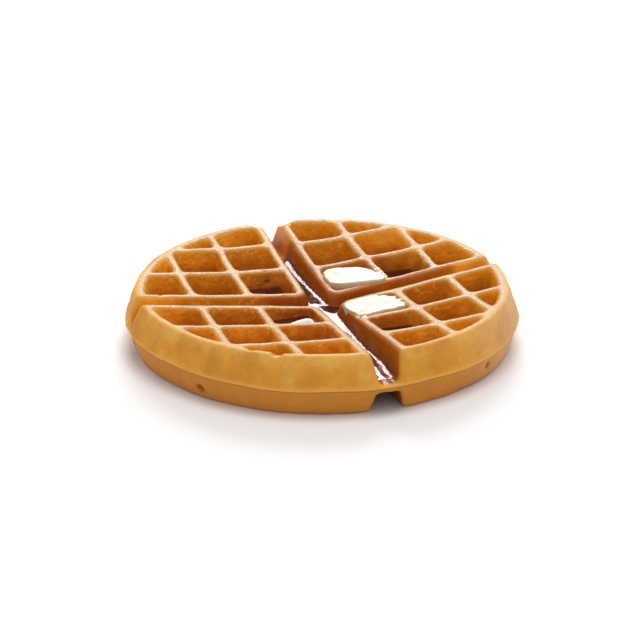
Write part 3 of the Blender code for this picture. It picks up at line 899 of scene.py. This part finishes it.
class WAFFLE_OT_syrup(bpy.types.Operator):
    """Pours the syrup: a stream along the channels and a pool in four of the pockets"""

    bl_idname = "waffle.syrup"
    bl_label = "Syrup"

    def execute(self, context):
        sizes = context.scene.waffle_sizes
        tree = syrup_tree(shared_field(), table_syrup(context.scene.waffle_colours))
        margin = Vector((SYRUP_ROOM, SYRUP_ROOM, 0))
        for node in [*POOLS, "syrup_channels"]:
            low, high = (Vector(corner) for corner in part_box(node))
            pool = node in POOLS
            surface = high.z if pool else sizes.web_top - sizes.web_sag + sizes.middle_syrup
            low, high = low - margin, high + margin
            low.z, high.z = sizes.web_top + SYRUP_LOW, sizes.web_top + SYRUP_HIGH
            flow = NO_STREAM if pool else sizes.syrup_depth
            made = from_tree(context, node.replace("syrup", "poured"), tree, low=low, high=high,
                             surface=surface, flow=flow, stream=float(not pool), voxel=SYRUP_CELL)
            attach(made, "root")
            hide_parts(node)
        return {"FINISHED"}


class WAFFLE_OT_butter(bpy.types.Operator):
    """Lays two soft pats of butter over their pockets"""

    bl_idname = "waffle.butter"
    bl_label = "Butter"

    def execute(self, context):
        finish = soft_butter(context.scene.waffle_colours)
        for node, (proud, outline) in PATS.items():
            pat = soft_pat(context, node.replace("butter", "soft_pat"), proud * MM, outline)
            pat.data.materials.append(finish)
            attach(pat, "root")
            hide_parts(node)
        return {"FINISHED"}


def soft_pat(context, name, proud, outline):
    """A slab from an outline, softened all over, and let down with the ribs that it lies on."""
    sizes = context.scene.waffle_sizes
    foot, top = sizes.height - sizes.butter_depth, sizes.height + proud
    bm = bmesh.new()
    face = bm.faces.new([bm.verts.new((x * MM, y * MM, foot)) for x, y in outline])
    raised = bmesh.ops.extrude_face_region(bm, geom=[face])["geom"]
    for part in raised:
        if isinstance(part, bmesh.types.BMVert):
            part.co.z = top
    bmesh.ops.recalc_face_normals(bm, faces=bm.faces[:])
    mesh = bpy.data.meshes.new(name)
    bm.to_mesh(mesh)
    bm.free()
    slab = bpy.data.objects.new(name, mesh)
    context.scene.collection.objects.link(slab)
    cells = slab.modifiers.new("cells", "REMESH")
    cells.mode = "VOXEL"
    cells.voxel_size = PAT_CELL
    soft = slab.modifiers.new("soft", "SMOOTH")
    soft.iterations = PAT_SMOOTHING
    mesh = evaluated_mesh(context, slab)
    slab.modifiers.clear()
    slab.data = mesh
    for v in mesh.vertices:
        wave = sum(noise.noise(v.co * scale) * height * MM for scale, height in PAT_WAVES)
        v.co += Vector(v.normal) * wave
    for v in mesh.vertices:
        v.co.z = let_down_point(sizes, v.co)
    mesh.shade_smooth()
    return slab


class WAFFLE_OT_melt(bpy.types.Operator):
    """Runs a thin skin of melted butter over the ribs beside the pats"""

    bl_idname = "waffle.melt"
    bl_label = "Melted butter"

    def execute(self, context):
        tree = melt_tree(shared_field(), melted_butter(context.scene.waffle_colours))
        height = context.scene.waffle_sizes.height
        low, high = (Vector((x * MM, y * MM, height + z * MM)) for x, y, z in MELT_ROOM)
        made = from_tree(context, "melted_butter", tree, low=low, high=high, voxel=MELT_CELL)
        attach(made, "root")
        return {"FINISHED"}


class WAFFLE_OT_stage(bpy.types.Operator):
    """Sets up the pale floor, the soft lights and the camera"""

    bl_idname = "waffle.stage"
    bl_label = "Stage"

    def execute(self, context):
        bm = bmesh.new()
        bmesh.ops.create_circle(bm, cap_ends=True, segments=64, radius=FLOOR_RADIUS)
        mesh = bpy.data.meshes.new("floor")
        bm.to_mesh(mesh)
        bm.free()
        mesh.materials.append(plain_floor(context.scene.waffle_colours))
        floor = bpy.data.objects.new("floor", mesh)
        floor.location.z = -FLOOR_DROP
        context.scene.collection.objects.link(floor)

        for name, place, width, power in SOFT_BOXES:
            lamp = bpy.data.lights.new(name, "AREA")
            lamp.shape = "DISK"
            lamp.size = width
            lamp.energy = power
            box = bpy.data.objects.new(name, lamp)
            box.location = place
            box.rotation_euler = (-Vector(place)).to_track_quat("-Z", "Y").to_euler()
            context.scene.collection.objects.link(box)

        world = bpy.data.worlds.new("studio")
        world.use_nodes = True
        sky = world.node_tree.nodes["Background"]
        sky.inputs["Color"].default_value = linear("#FFFFFF")
        sky.inputs["Strength"].default_value = SKY_STRENGTH
        context.scene.world = world
        context.scene.view_settings.view_transform = "Standard"

        lens = bpy.data.cameras.new("camera")
        lens.lens = CAMERA_LENS
        camera = bpy.data.objects.new("camera", lens)
        camera.location = Matrix.Rotation(CAMERA_TURN, 3, "Z") @ Vector(CAMERA_PLACE)
        camera.rotation_euler = (CAMERA_TILT, 0, CAMERA_TURN)
        context.scene.collection.objects.link(camera)
        context.scene.camera = camera
        return {"FINISHED"}


class WAFFLE_PT_panel(bpy.types.Panel):
    """Lists the pieces, the sizes and the colours"""

    bl_label = "Waffle"
    bl_idname = "WAFFLE_PT_panel"
    bl_space_type = "VIEW_3D"
    bl_region_type = "UI"
    bl_category = "Waffle"

    def draw(self, context):
        for operator in OPERATORS:
            self.layout.operator(operator.bl_idname)
        for group in (context.scene.waffle_sizes, context.scene.waffle_colours):
            column = self.layout.column(align=True)
            for key in type(group).__annotations__:
                column.prop(group, key)


OPERATORS = [WAFFLE_OT_crust, WAFFLE_OT_syrup, WAFFLE_OT_butter, WAFFLE_OT_melt, WAFFLE_OT_stage]
CLASSES = [WaffleSizes, WaffleColours, *OPERATORS, WAFFLE_PT_panel]


def register():
    for each in CLASSES:
        bpy.utils.register_class(each)
    bpy.types.Scene.waffle_sizes = PointerProperty(type=WaffleSizes)
    bpy.types.Scene.waffle_colours = PointerProperty(type=WaffleColours)


def unregister():
    del bpy.types.Scene.waffle_colours
    del bpy.types.Scene.waffle_sizes
    for each in reversed(CLASSES):
        bpy.utils.unregister_class(each)


def main():
    register()
    bpy.ops.waffle.crust()
    bpy.ops.waffle.syrup()
    bpy.ops.waffle.butter()
    bpy.ops.waffle.melt()
    bpy.ops.waffle.stage()


if __name__ == "__main__":
    main()
